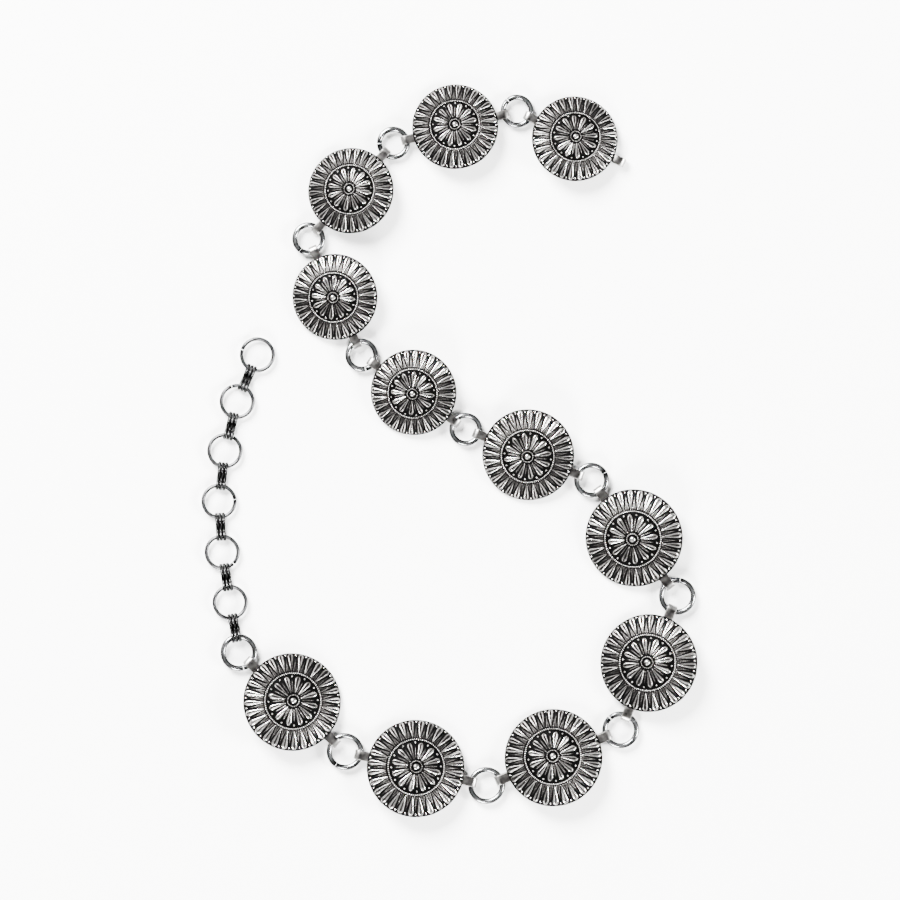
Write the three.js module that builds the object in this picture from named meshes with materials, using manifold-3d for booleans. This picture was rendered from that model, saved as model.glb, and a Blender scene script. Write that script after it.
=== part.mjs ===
// Concho belt lying on a table in one long bend, seen from above. Millimetres, Z up.
// Eleven cast conchos are joined by rings, and a chain of thin rings and triple wire links
// lets the belt be fastened at several lengths with the open strap of the first concho.
import * as THREE from 'three';
import { mergeVertices } from 'three/addons/utils/BufferGeometryUtils.js';
import Module from 'manifold-3d';

const wasm = await Module();
wasm.setup();

// Driving sizes of the largest concho
const CONCHO_RADIUS = 26;
const RIM_THICKNESS = 1.2;
const DOME_RISE = 6.6;
const CAST_WALL = 1.6;
const OUTER_PETALS = 28;
const INNER_PETALS = 12;
const OUTER_PETAL_LIFT = 0.95;
const INNER_PETAL_LIFT = 0.9;
const BAND_LIFT = 0.6;
const COLLAR_LIFT = 0.55;
const KNOB_LIFT = 1.3;
const RIM_LEDGE_WIDTH = 2.6;

// How far each concho leans to its right on its straps, in degrees
const LEAN = 10;

// Straps cast on the back of each concho
const STRAP_WIDTH = 5.5;
const STRAP_THICKNESS = 1.1;
const STRAP_REACH = 4;
const STRAP_INSET = 2.6;
const STRAP_BITE = 0.6;
const HOOK_RETURN_GAP = 0.6;

// Joining rings, extender rings and triple wire links
const RING_RADIUS = 8.4;
const RING_WIRE = 2.8;
const THIN_RING_RADIUS = 8.4;
const THIN_RING_WIRE = 1.9;
const LINK_SPAN = 10.1;
const LINK_WIRE = 1.1;
const LINK_STRANDS = 3;
const LINK_STRAND_PITCH = 1.9;
const LINK_WAIST_LENGTH = 1.6;
const LINK_PINCH_OVERLAP = 0.1;

// Room left between metal parts that move in each other
const CLEARANCE = 0.3;

// How finely round things are cut
const RING_SIDES = 14;
const RING_WIRE_SIDES = 6;
const THIN_WIRE_SIDES = 5;
const BEND_STEPS = 4;
const UNDERSIDE_CORNERS = 14;
const KNOB_CORNERS = 8;

// Sizes of the conchos as shares of the largest
const SMALL = 0.88;
const MEDIUM = 0.94;
const LARGE = 1;

// The lay of the belt: each concho's heading in degrees, from the hook to the extender
const CONCHOS = [
  { heading: 154, size: SMALL },
  { heading: 194.5, size: SMALL },
  { heading: 228.5, size: SMALL },
  { heading: 294.5, size: SMALL },
  { heading: 324.5, size: SMALL },
  { heading: 338, size: MEDIUM },
  { heading: 306.5, size: LARGE },
  { heading: 247, size: LARGE },
  { heading: 202.5, size: LARGE },
  { heading: 166.5, size: LARGE },
  { heading: 137, size: LARGE },
];

// Headings of the links of the extender chain, from the last concho to the free end
const LINKS = [
  { heading: 100 },
  { heading: 99 },
  { heading: 93.5 },
  { heading: 83.5 },
  { heading: 76 },
  { heading: 66.5 },
];

// The cast face, from the rim to the knob. at is a share of the radius, corners the number of
// corners of that ring, and crest and gap the lift on and between petals as shares of lift.
const FACE = [
  { at: 1, corners: OUTER_PETALS, crest: 0, gap: 0, lift: OUTER_PETAL_LIFT, outer: true },
  { at: 0.91, corners: 2 * OUTER_PETALS, crest: 1, gap: -0.15, lift: OUTER_PETAL_LIFT, outer: true },
  { at: 0.77, corners: 2 * OUTER_PETALS, crest: 0.8, gap: -0.1, lift: OUTER_PETAL_LIFT, outer: true },
  { at: 0.63, corners: OUTER_PETALS, crest: -0.1, gap: -0.1, lift: OUTER_PETAL_LIFT, outer: true },
  { at: 0.597, corners: OUTER_PETALS, crest: 1, gap: 1, lift: BAND_LIFT, outer: true },
  { at: 0.555, corners: 2 * INNER_PETALS, crest: -0.1, gap: -0.1, lift: BAND_LIFT, outer: false },
  { at: 0.47, corners: 2 * INNER_PETALS, crest: 1, gap: -0.1, lift: INNER_PETAL_LIFT, outer: false },
  { at: 0.18, corners: INNER_PETALS, crest: 0, gap: 0, lift: INNER_PETAL_LIFT, outer: false },
  { at: 0.14, corners: INNER_PETALS, crest: 1, gap: 1, lift: COLLAR_LIFT, outer: false },
  { at: 0.1, corners: KNOB_CORNERS, crest: -0.3, gap: -0.3, lift: COLLAR_LIFT, outer: false },
  { at: 0.078, corners: KNOB_CORNERS, crest: 0.55, gap: 0.55, lift: KNOB_LIFT, outer: false },
  { at: 0, corners: 1, crest: 1, gap: 1, lift: KNOB_LIFT, outer: false },
];

// Heights above the table: the wires lie on the lower strands of whatever holds them
const BED = Math.max(STRAP_THICKNESS, LINK_WIRE) + CLEARANCE;
const EYE_TOP = BED + RING_WIRE + CLEARANCE;
const STRAP_TOP = EYE_TOP + STRAP_THICKNESS;
const RIM_BOTTOM = STRAP_TOP - STRAP_BITE;

const LINK_WIDTH = (LINK_STRANDS - 1) * LINK_STRAND_PITCH + LINK_WIRE;

const metals = {
  concho: { color: 0xa9a9a6, roughness: 0.34, metalness: 1 },
  ring: { color: 0xc4c5c6, roughness: 0.2, metalness: 1 },
  thinRing: { color: 0xbfc0c1, roughness: 0.22, metalness: 1 },
  link: { color: 0x9b9c9d, roughness: 0.28, metalness: 1 },
};

// Joins and cuts

function toSolid(geometry) {
  const bare = geometry.clone();
  bare.deleteAttribute('normal');
  bare.deleteAttribute('uv');
  const merged = mergeVertices(bare, 1e-4);
  return new wasm.Manifold(new wasm.Mesh({
    numProp: 3,
    vertProperties: new Float32Array(merged.attributes.position.array),
    triVerts: new Uint32Array(merged.index.array),
  }));
}

function toGeometry(solid) {
  const mesh = solid.getMesh();
  const geometry = new THREE.BufferGeometry();
  geometry.setAttribute('position', new THREE.BufferAttribute(mesh.vertProperties, 3));
  geometry.setIndex(new THREE.BufferAttribute(mesh.triVerts, 1));
  geometry.computeVertexNormals();
  return geometry;
}

function joined(geometries) {
  const solids = geometries.map(toSolid);
  return toGeometry(solids.reduce((whole, next) => whole.add(next)));
}

// Corners of a ring about Z. liftAt gives the height at each corner.
function cornerRing(radius, corners, turn, heightAt) {
  const points = [];
  for (let k = 0; k < corners; k += 1) {
    const angle = turn + (2 * Math.PI * k) / corners;
    points.push([radius * Math.cos(angle), radius * Math.sin(angle), heightAt(k)]);
  }
  return { points, corners, turn };
}

// A closed skin through rings of corners, from the middle of the underside to the middle of the top
function skinThrough(rings) {
  const positions = [];
  const starts = [];
  for (const ring of rings) {
    starts.push(positions.length / 3);
    positions.push(...ring.points.flat());
  }
  const index = [];
  for (let r = 0; r + 1 < rings.length; r += 1) {
    const [from, to] = [rings[r], rings[r + 1]];
    const a = (i) => starts[r] + (i % from.corners);
    const b = (j) => starts[r + 1] + (j % to.corners);
    const angleOf = (ring, i) => ring.turn + (2 * Math.PI * i) / ring.corners;
    let i = 0;
    let j = 0;
    const fromEnd = from.corners === 1 ? 0 : from.corners;
    const toEnd = to.corners === 1 ? 0 : to.corners;
    while (i < fromEnd || j < toEnd) {
      const stepFrom = j >= toEnd || (i < fromEnd && angleOf(from, i + 1) <= angleOf(to, j + 1));
      if (stepFrom) {
        index.push(a(i), a(i + 1), b(j));
        i += 1;
      } else {
        index.push(a(i), b(j + 1), b(j));
        j += 1;
      }
    }
  }
  const geometry = new THREE.BufferGeometry();
  geometry.setAttribute('position', new THREE.Float32BufferAttribute(positions, 3));
  geometry.setIndex(index);
  return geometry;
}

// A wire along a closed loop of [x, z] points, which lies in the plane y
function wireLoop(path, y, wire, sides) {
  const rings = path.map(([x, z], k) => {
    const [px, pz] = path[(k + path.length - 1) % path.length];
    const [nx, nz] = path[(k + 1) % path.length];
    const before = new THREE.Vector2(x - px, z - pz).normalize();
    const after = new THREE.Vector2(nx - x, nz - z).normalize();
    const along = before.clone().add(after).normalize();
    const out = new THREE.Vector2(along.y, -along.x);
    const miter = 1 / Math.max(0.5, along.dot(after));
    const points = [];
    for (let s = 0; s < sides; s += 1) {
      const angle = (2 * Math.PI * s) / sides;
      const reach = (wire / 2) * Math.cos(angle) * miter;
      points.push([x + out.x * reach, y + (wire / 2) * Math.sin(angle), z + out.y * reach]);
    }
    return points;
  });
  const index = [];
  for (let k = 0; k < rings.length; k += 1) {
    const here = k * sides;
    const next = ((k + 1) % rings.length) * sides;
    for (let s = 0; s < sides; s += 1) {
      const t = (s + 1) % sides;
      index.push(here + s, here + t, next + s, here + t, next + t, next + s);
    }
  }
  const geometry = new THREE.BufferGeometry();
  geometry.setAttribute('position', new THREE.Float32BufferAttribute(rings.flat(2), 3));
  geometry.setIndex(index);
  return geometry;
}

// Points of a half turn around [x, z], from below to above on the side that sign names.
// The straight pieces between them touch the circle, so nothing inside it is cut.
function halfTurn(x, z, radius, sign) {
  const points = [];
  for (let k = 0; k < BEND_STEPS; k += 1) {
    const angle = -Math.PI / 2 + (Math.PI * (k + 0.5)) / BEND_STEPS;
    const reach = radius / Math.cos(Math.PI / (2 * BEND_STEPS));
    points.push([x + sign * reach * Math.cos(angle), z + reach * Math.sin(angle)]);
  }
  return points;
}

// How far a round ring bends away across a strap or link of this width
function bowAcross(ringRadius, width) {
  return ringRadius - Math.sqrt(ringRadius ** 2 - (width / 2) ** 2);
}

// Cast concho

function conchoDisc(size) {
  const radius = CONCHO_RADIUS * size;
  const dome = (at) => (RIM_THICKNESS + DOME_RISE * (1 - at * at)) * size;
  const under = (at) => dome(at) - CAST_WALL;
  const ledge = 1 - RIM_LEDGE_WIDTH / radius;
  const rings = [
    cornerRing(0, 1, 0, () => under(0)),
    cornerRing(radius * 0.55, UNDERSIDE_CORNERS, 0, () => under(0.55)),
    cornerRing(radius * ledge, UNDERSIDE_CORNERS, 0, () => 0),
    cornerRing(radius, OUTER_PETALS, Math.PI / OUTER_PETALS, () => 0),
  ];
  for (const row of FACE) {
    const petals = row.outer ? OUTER_PETALS : INNER_PETALS;
    const turn = row.outer ? Math.PI / OUTER_PETALS : 0;
    const alternates = row.corners === 2 * petals;
    const heightAt = (k) => {
      const share = alternates && k % 2 === 1 ? row.gap : row.crest;
      return dome(row.at) + share * row.lift * size;
    };
    rings.push(cornerRing(radius * row.at, row.corners, turn, heightAt));
  }
  const disc = skinThrough(rings);
  disc.rotateX(THREE.MathUtils.degToRad(LEAN));
  disc.translate(0, 0, RIM_BOTTOM);
  return disc;
}

// Side outlines in [distance from the concho's middle, height], extruded across the strap
function strapOutline(radius, wireAt, open) {
  const middle = STRAP_TOP / 2;
  const slotMiddle = (STRAP_THICKNESS + EYE_TOP) / 2;
  const slotHalf = (EYE_TOP - STRAP_THICKNESS) / 2;
  const outer = halfTurn(wireAt, middle, middle, 1);
  const slot = halfTurn(wireAt, slotMiddle, slotHalf, 1);
  const root = radius - STRAP_INSET;
  if (open) {
    const tip = radius + HOOK_RETURN_GAP;
    return new THREE.Shape([
      [tip, 0], ...outer, [root, STRAP_TOP], [root, EYE_TOP],
      ...slot.reverse(), [tip, STRAP_THICKNESS],
    ].map(([s, z]) => new THREE.Vector2(s, z)));
  }
  const back = root + middle;
  const shape = new THREE.Shape(
    [...outer, ...halfTurn(back, middle, middle, -1).reverse()].map(([s, z]) => new THREE.Vector2(s, z)),
  );
  const hole = [...slot, ...halfTurn(back, slotMiddle, slotHalf, -1).reverse()];
  shape.holes.push(new THREE.Path(hole.map(([s, z]) => new THREE.Vector2(s, z))));
  return shape;
}

// A strap that holds the wire of a ring of this radius. turn is 0 at the front, half a turn at the back.
function strap(size, ringRadius, turn, open) {
  const width = STRAP_WIDTH * size;
  const radius = CONCHO_RADIUS * size * Math.cos(Math.PI / OUTER_PETALS);
  const wireAt = CONCHO_RADIUS * size + STRAP_REACH * size + bowAcross(ringRadius, width);
  const outline = strapOutline(radius, wireAt, open);
  const geometry = new THREE.ExtrudeGeometry(outline, { depth: width, bevelEnabled: false });
  geometry.translate(0, 0, -width / 2);
  geometry.rotateX(Math.PI / 2);
  geometry.rotateZ(turn);
  return geometry;
}

function conchoGeometry(size, ringBehind, ringAhead, hooked) {
  return joined([
    conchoDisc(size),
    strap(size, ringBehind, Math.PI, hooked),
    strap(size, ringAhead, 0, false),
  ]);
}

// Rings: their flats touch the true circle, so that they never come nearer the middle than it does

function ringGeometry(radius, wire, wireSides) {
  const outerRadius = radius / Math.cos(Math.PI / RING_SIDES);
  return new THREE.TorusGeometry(outerRadius, wire / 2, wireSides, RING_SIDES);
}

// Triple wire link: every strand is a loop with an eye at each end, pinched together in the middle

function linkEye(ringRadius, ringWire) {
  const low = LINK_WIRE / 2;
  const high = BED + ringWire + CLEARANCE + LINK_WIRE / 2;
  return {
    low,
    high,
    middle: (low + high) / 2,
    bend: (high - low) / 2,
    bow: bowAcross(ringRadius, LINK_WIDTH),
  };
}

function strandPath(eyeBehind, eyeAhead) {
  const half = LINK_SPAN / 2;
  const waistHigh = 1.5 * LINK_WIRE - LINK_PINCH_OVERLAP;
  const waistHalf = LINK_WAIST_LENGTH / 2;
  const shoulder = Math.tan(Math.PI / 8);
  const sideOf = (eye, sign) => [
    ...halfTurn(sign * (half + eye.bow), eye.middle, eye.bend, sign),
    [sign * (half - shoulder * eye.bend), eye.high],
    [sign * (half - eye.bend), eye.middle + shoulder * eye.bend],
    [sign * waistHalf, waistHigh],
  ];
  return [...sideOf(eyeAhead, 1), ...sideOf(eyeBehind, -1).reverse()];
}

function linkGeometry(ringBehind, wireBehind, ringAhead, wireAhead) {
  const path = strandPath(linkEye(ringBehind, wireBehind), linkEye(ringAhead, wireAhead));
  const pieces = [];
  for (let k = 0; k < LINK_STRANDS; k += 1) {
    const y = (k - (LINK_STRANDS - 1) / 2) * LINK_STRAND_PITCH;
    pieces.push(wireLoop(path, y, LINK_WIRE, THIN_WIRE_SIDES));
  }
  const waist = new THREE.BoxGeometry(LINK_WAIST_LENGTH, LINK_WIDTH - LINK_WIRE, LINK_WIRE);
  waist.translate(0, 0, LINK_WIRE - LINK_PINCH_OVERLAP / 2);
  return joined([waist, ...pieces]);
}

// Laying the belt out

const belt = new THREE.Group();

function lay(name, geometry, metal, at, heading, height) {
  const material = new THREE.MeshStandardMaterial(metals[metal]);
  const mesh = new THREE.Mesh(geometry, material);
  mesh.name = name;
  mesh.position.set(at.x, at.y, height);
  mesh.rotation.z = THREE.MathUtils.degToRad(heading);
  belt.add(mesh);
}

const stepFrom = (at, heading, distance) => {
  const angle = THREE.MathUtils.degToRad(heading);
  return new THREE.Vector2(at.x + distance * Math.cos(angle), at.y + distance * Math.sin(angle));
};
const numbered = (name, k) => `${name}_${String(k + 1).padStart(2, '0')}`;

// Each ring has the size of the concho before it, and the first concho's strap hooks the thin rings
let at = new THREE.Vector2(0, 0);
let ringBehind = THIN_RING_RADIUS;
CONCHOS.forEach(({ heading, size }, k) => {
  const ringAhead = RING_RADIUS * size;
  const toWire = (CONCHO_RADIUS + STRAP_REACH) * size;
  if (k > 0) at = stepFrom(at, heading, ringBehind + toWire);
  lay(numbered('concho', k), conchoGeometry(size, ringBehind, ringAhead, k === 0), 'concho', at, heading, 0);
  at = stepFrom(at, heading, toWire + ringAhead);
  const ring = ringGeometry(ringAhead, RING_WIRE, RING_WIRE_SIDES);
  lay(numbered('joining_ring', k), ring, 'ring', at, heading, BED + RING_WIRE / 2);
  ringBehind = ringAhead;
});

let wireBehind = RING_WIRE;
LINKS.forEach(({ heading }, k) => {
  at = stepFrom(at, heading, ringBehind + LINK_SPAN / 2);
  const link = linkGeometry(ringBehind, wireBehind, THIN_RING_RADIUS, THIN_RING_WIRE);
  lay(numbered('triple_link', k), link, 'link', at, heading, 0);
  at = stepFrom(at, heading, LINK_SPAN / 2 + THIN_RING_RADIUS);
  const ring = ringGeometry(THIN_RING_RADIUS, THIN_RING_WIRE, THIN_WIRE_SIDES);
  lay(numbered('extender_ring', k), ring, 'thinRing', at, heading, BED + THIN_RING_WIRE / 2);
  ringBehind = THIN_RING_RADIUS;
  wireBehind = THIN_RING_WIRE;
});

// The origin is on the table, under the middle of the belt's outline
belt.updateMatrixWorld(true);
const box = new THREE.Box3().setFromObject(belt, true);
const middle = box.getCenter(new THREE.Vector3());
belt.position.set(-middle.x, -middle.y, 0);

export default belt;
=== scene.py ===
# %% [markdown]
# # A concho belt in antique silver
# Eleven cast conchos, the rings that join them and the adjusting chain are each dressed here.
# The solid model gives the places and the main sizes, so the first step loads it and keeps its box.

# %% Load the solid model
import math

import bpy
import numpy as np
from mathutils import Matrix, Vector


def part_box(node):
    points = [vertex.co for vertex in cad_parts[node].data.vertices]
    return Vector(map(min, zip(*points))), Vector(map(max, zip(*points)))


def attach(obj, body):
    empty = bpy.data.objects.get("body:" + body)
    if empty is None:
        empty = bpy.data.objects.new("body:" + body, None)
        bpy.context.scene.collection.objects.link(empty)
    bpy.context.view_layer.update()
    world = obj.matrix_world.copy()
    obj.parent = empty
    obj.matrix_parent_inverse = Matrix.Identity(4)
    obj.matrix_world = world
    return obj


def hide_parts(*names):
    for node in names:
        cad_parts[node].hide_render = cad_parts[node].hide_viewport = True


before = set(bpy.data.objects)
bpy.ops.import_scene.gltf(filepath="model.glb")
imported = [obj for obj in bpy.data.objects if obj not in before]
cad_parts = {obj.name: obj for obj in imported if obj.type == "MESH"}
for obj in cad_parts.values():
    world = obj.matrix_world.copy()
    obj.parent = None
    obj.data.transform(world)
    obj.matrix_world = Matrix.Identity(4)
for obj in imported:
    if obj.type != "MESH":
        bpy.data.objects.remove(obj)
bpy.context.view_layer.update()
MM = 0.001

# %% [markdown]
# ## Where everything lies
# The pieces could be placed by a list of numbers, but then a change of the solid model would leave
# the looks behind. So the pieces tell their own places. The two straps of a concho touch the table,
# and the line from one to the other is its heading. The knob is its highest point. The disc leans
# sideways on its straps, and the two ends of its rim say by how much.

# %% Read corners and names
def points_of(mesh):
    """The corners of a mesh, as rows of x, y and z."""
    flat = np.zeros(len(mesh.vertices) * 3)
    mesh.vertices.foreach_get("co", flat)
    return flat.reshape(-1, 3)


def corners_of(node):
    """The corners of a solid, each once, in metres."""
    return np.unique(points_of(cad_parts[node].data).round(7), axis=0)


def numbered(name):
    return sorted(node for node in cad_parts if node.startswith(name))


for kind in ("concho", "joining_ring", "extender_ring", "triple_link"):
    print(kind, len(numbered(kind)))

# %% Measure headings, radii and leans
OUTER_PETALS, INNER_PETALS = 28, 12
# A foot is lower than this above the table
TOUCHING = 0.05 * MM
# The rim's two ends are read in a strip across the disc that is this wide on each side
NEAR_MIDDLE = 10 * MM
# A corner further out than this belongs to a strap
PAST_RIM = 1 * MM


def read_concho(node):
    """The corners of one concho, its knob, and the two places where its straps touch the table."""
    points = corners_of(node)
    knob = points[points[:, 2].argmax()]
    feet = points[points[:, 2] < TOUCHING][:, :2]
    toward = feet[np.hypot(*(feet - knob[:2]).T).argmax()] - knob[:2]
    side = (feet - knob[:2]) @ toward > 0
    ends = [feet[side].mean(0), feet[~side].mean(0)]
    return points, knob, ends


def measure_concho(k, node):
    """Middle, heading, radius, lean, rim height and strap tips of one concho."""
    points, knob, ends = read_concho(node)
    ring = corners_of(numbered("joining_ring")[k]).mean(0)[:2]
    ahead, behind = sorted(ends, key=lambda end: np.hypot(*(end - ring)))
    unit = (ahead - behind) / np.hypot(*(ahead - behind))
    middle = behind + unit * ((knob[:2] - behind) @ unit)
    along = (points[:, :2] - middle) @ unit
    left = (points[:, :2] - middle) @ (-unit[1], unit[0])
    disc = np.abs(along) < NEAR_MIDDLE
    high = np.where(disc, left, -1).argmax()
    low = np.where(disc, points[:, 2], 1).argmin()
    rise, across = points[high, 2] - points[low, 2], left[high] - left[low]
    radius = math.hypot(rise, across) / 2 / math.cos(math.pi / OUTER_PETALS)
    return {"node": node, "middle": middle, "heading": math.atan2(unit[1], unit[0]), "radius": radius,
            "lean": math.atan2(rise, across), "rim": (points[high, 2] + points[low, 2]) / 2,
            "strap_top": points[np.abs(along) > radius + PAST_RIM, 2].max(),
            "ahead": along.max(), "behind": -along.min()}


conchos = [measure_concho(k, node) for k, node in enumerate(numbered("concho"))]
LARGEST = max(c["radius"] for c in conchos)
for c in conchos:
    print(c["node"], "radius", round(c["radius"] / MM, 2), "mm, heading",
          round(math.degrees(c["heading"]), 1), "lean", round(math.degrees(c["lean"]), 1))

# %% [markdown]
# ## The camera
# The belt is photographed lying down, from straight above. A camera near the table would show the
# outer side of each concho at the edge of the picture, so a long lens looks from far away. The
# picture is square and shows 476 mm at the height of the rims.

# %% Look straight down
FRAME_WIDTH = 0.4756
LENS_MM, SENSOR_MM = 300.0, 36.0
RIM_HEIGHT = 0.005
AIM = (0.0004, 0.00025)
camera_data = bpy.data.cameras.new("camera")
camera_data.lens = LENS_MM
camera_data.sensor_width = SENSOR_MM
camera = bpy.data.objects.new("camera", camera_data)
camera.location = (*AIM, RIM_HEIGHT + FRAME_WIDTH * LENS_MM / SENSOR_MM)
bpy.context.scene.collection.objects.link(camera)
bpy.context.scene.camera = camera
print("camera", round(camera.location.z, 3), "m above the table")

# %% [markdown]
# ## Light and table
# One bare lamp would leave polished metal black with a few hot specks, because metal shows its
# surroundings. So the light is planned as what the metal mirrors. A large soft box at the upper
# left is the main light, and two smaller ones, at the right and in front, lift the dark sides.
# The sky is white overhead and dark lower down, which draws a dark edge round every raised form.
# It is white again at the horizon, where the table ends.

# %% One helper for every node
def linear(hex_colour):
    """The linear colour of an sRGB hex value, which is what Blender's sockets take."""
    parts = [int(hex_colour[i:i + 2], 16) / 255 for i in (1, 3, 5)]
    return [p / 12.92 if p <= 0.04045 else ((p + 0.055) / 1.055) ** 2.4 for p in parts] + [1.0]


def add_node(tree, kind, settings=None, **inputs):
    """Adds a node with its settings and links. An input goes by its name, or by _0, _1 and so on."""
    node = tree.nodes.new(kind)
    for name, value in (settings or {}).items():
        if name == "stops":
            elements = node.color_ramp.elements
            while len(elements) < len(value):
                elements.new(0.5)
            for element, (position, colour) in zip(elements, value):
                element.position = position
                element.color = linear(colour) if isinstance(colour, str) else (colour, colour, colour, 1)
        else:
            setattr(node, name, value)
    for name, value in inputs.items():
        numbered_input = name[:1] == "_" and name[1:].isdigit()
        socket = node.inputs[int(name[1:]) if numbered_input else name.replace("_", " ")]
        if isinstance(value, bpy.types.NodeSocket):
            tree.links.new(value, socket)
        else:
            socket.default_value = value
    return node


# What a Math node is set to in the trees below
ADD, SUBTRACT = {"operation": "ADD"}, {"operation": "SUBTRACT"}
MULTIPLY, DIVIDE = {"operation": "MULTIPLY"}, {"operation": "DIVIDE"}
ABSOLUTE, MULTIPLY_ADD = {"operation": "ABSOLUTE"}, {"operation": "MULTIPLY_ADD"}
print("mid grey in linear light:", round(linear("#808080")[0], 3))

# %% Soft boxes
def soft_box(name, place, side, watts):
    """A square light of this side, in metres, that faces the middle of the belt."""
    data = bpy.data.lights.new(name, "AREA")
    data.shape = "SQUARE"
    data.size = side
    data.energy = watts
    lamp = bpy.data.objects.new(name, data)
    lamp.location = place
    lamp.rotation_euler = (-Vector(place)).to_track_quat("-Z", "Y").to_euler()
    bpy.context.scene.collection.objects.link(lamp)


soft_box("key", (-1.4, 2.0, 1.9), side=1.5, watts=1150)
soft_box("right", (2.4, -0.6, 1.3), side=0.9, watts=390)
soft_box("front", (-0.6, -2.4, 1.3), side=0.9, watts=360)

# %% Sky
SKY_STOPS = [(0.02, "#ffffff"), (0.12, "#1c1c1c"), (0.60, "#6a6b6c"), (0.97, "#ffffff")]
sky = bpy.data.worlds.new("sky")
bpy.context.scene.world = sky
sky.use_nodes = True
tree = sky.node_tree
tree.nodes.clear()
direction = add_node(tree, "ShaderNodeTexCoord").outputs["Generated"]
height = add_node(tree, "ShaderNodeSeparateXYZ", Vector=direction).outputs["Z"]
fade = add_node(tree, "ShaderNodeValToRGB", {"stops": SKY_STOPS}, Fac=height)
background = add_node(tree, "ShaderNodeBackground", Color=fade.outputs["Color"], Strength=0.4)
add_node(tree, "ShaderNodeOutputWorld", Surface=background.outputs[0])
print("sky:", len(SKY_STOPS), "tones from horizon to zenith")

# %% Table
TABLE_HALF = 8.0
table_corners = [(x * TABLE_HALF, y * TABLE_HALF, 0) for x, y in ((-1, -1), (1, -1), (1, 1), (-1, 1))]
table_mesh = bpy.data.meshes.new("table")
table_mesh.from_pydata(table_corners, [], [(0, 1, 2, 3)])
table = bpy.data.objects.new("table", table_mesh)
bpy.context.scene.collection.objects.link(table)
card = bpy.data.materials.new("matt white card")
card.use_nodes = True
card_inputs = card.node_tree.nodes["Principled BSDF"].inputs
card_inputs["Base Color"].default_value = linear("#fafaf9")
card_inputs["Roughness"].default_value = 0.9
table_mesh.materials.append(card)
print("table:", 2 * TABLE_HALF, "m wide, in", card.name)

# %% [markdown]
# ## Antique silver
# The conchos are cast in zinc, plated, dipped black and then rubbed, so that the dark stays in
# the hollows and the raised parts shine. A shader could guess the hollows from the shape, but the
# export can't keep such a guess. So the mesh carries the rubbing as a number at each corner, called
# relief: 0 deep in a hollow, 1 on a crest. The same number also carries painted light and shade: a
# lighter side on each concho, a dark reflection round the rims and along the ring flanks, shade
# where the straps leave the rims, and a highlight and a dark line across each strap's bend.
# The material only has to read it, and to make the rubbing uneven: a broad stain, and grit as fine
# as the sand that the mould was pressed in.

# %% The cast silver
STAIN_MM, STAIN_STRENGTH = 6.0, 0.22
GRIT_MM, GRIT_STRENGTH = 0.7, 0.44
PIT_MM, PIT_DEPTH_MM = 0.6, 0.14
SILVER_STOPS = [(0.14, "#050505"), (0.36, "#151414"), (0.56, "#2c2b2a"), (0.76, "#62605e"), (1.0, "#cfcdca")]
SILVER_ROUGHNESS = [(0.15, 0.60), (0.55, 0.40), (0.90, 0.26)]


def new_metal(name):
    """A bare metal, still one plain colour."""
    material = bpy.data.materials.new(name)
    material.use_nodes = True
    tree = material.node_tree
    tree.nodes.clear()
    shader = add_node(tree, "ShaderNodeBsdfPrincipled", Metallic=1.0)
    add_node(tree, "ShaderNodeOutputMaterial", Surface=shader.outputs[0])
    return material, tree, shader


def cast_silver():
    """Zinc casting under worn silver: crests nearly white, hollows matt black, grit in between."""
    material, tree, shader = new_metal("antique silver casting")
    place = add_node(tree, "ShaderNodeTexCoord").outputs["Object"]
    relief = add_node(tree, "ShaderNodeAttribute", {"attribute_name": "relief"}).outputs["Fac"]
    stain = add_node(tree, "ShaderNodeTexNoise", Vector=place, Detail=3.0,
                     Scale=1 / (STAIN_MM * MM)).outputs["Fac"]
    grit = add_node(tree, "ShaderNodeTexNoise", Vector=place, Detail=3.0,
                    Scale=1 / (GRIT_MM * MM)).outputs["Fac"]
    uneven = add_node(tree, "ShaderNodeMath", MULTIPLY_ADD, _0=stain, _1=STAIN_STRENGTH,
                      _2=-STAIN_STRENGTH / 2).outputs[0]
    uneven = add_node(tree, "ShaderNodeMath", MULTIPLY_ADD, _0=grit, _1=GRIT_STRENGTH, _2=uneven).outputs[0]
    uneven = add_node(tree, "ShaderNodeMath", SUBTRACT, _0=uneven, _1=GRIT_STRENGTH / 2).outputs[0]
    # Relief holds the rubbing, and on the conchos also a painted side light and a painted dark rim
    rubbed_and_painted_light = add_node(tree, "ShaderNodeMath", ADD, _0=relief, _1=uneven).outputs[0]
    colour = add_node(tree, "ShaderNodeValToRGB", {"stops": SILVER_STOPS}, Fac=rubbed_and_painted_light)
    rough = add_node(tree, "ShaderNodeValToRGB", {"stops": SILVER_ROUGHNESS}, Fac=rubbed_and_painted_light)
    tree.links.new(colour.outputs["Color"], shader.inputs["Base Color"])
    tree.links.new(rough.outputs["Color"], shader.inputs["Roughness"])
    pits = add_node(tree, "ShaderNodeTexVoronoi", Vector=place, Scale=1 / (PIT_MM * MM)).outputs["Distance"]
    unpolished = add_node(tree, "ShaderNodeMapRange", Value=relief, From_Min=0.25, From_Max=0.6,
                          To_Min=1.0, To_Max=0.15).outputs[0]
    pitted = add_node(tree, "ShaderNodeMath", MULTIPLY, _0=pits, _1=unpolished).outputs[0]
    rough_cast = add_node(tree, "ShaderNodeMath", MULTIPLY_ADD, _0=grit, _1=0.5, _2=pitted).outputs[0]
    bump = add_node(tree, "ShaderNodeBump", Height=rough_cast, Strength=0.7, Distance=PIT_DEPTH_MM * MM)
    tree.links.new(bump.outputs["Normal"], shader.inputs["Normal"])
    return material


silver = cast_silver()
print("material:", silver.name, len(silver.node_tree.nodes), "nodes")

# %% [markdown]
# ## Straps and wire
# The straps are the same metal, left as they came from the mould. The joining rings are steel wire,
# plated and polished. The thinner rings of the chain are plated wire left as drawn, and the triple
# links are dipped black. All four differ only in their colours, polish and grain, so one function
# makes them, where four separate materials would repeat each other.

# %% The satin strap and the three wires
CLOUD_MM = 3.0
CLOUD_STRENGTH = 0.5


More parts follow.
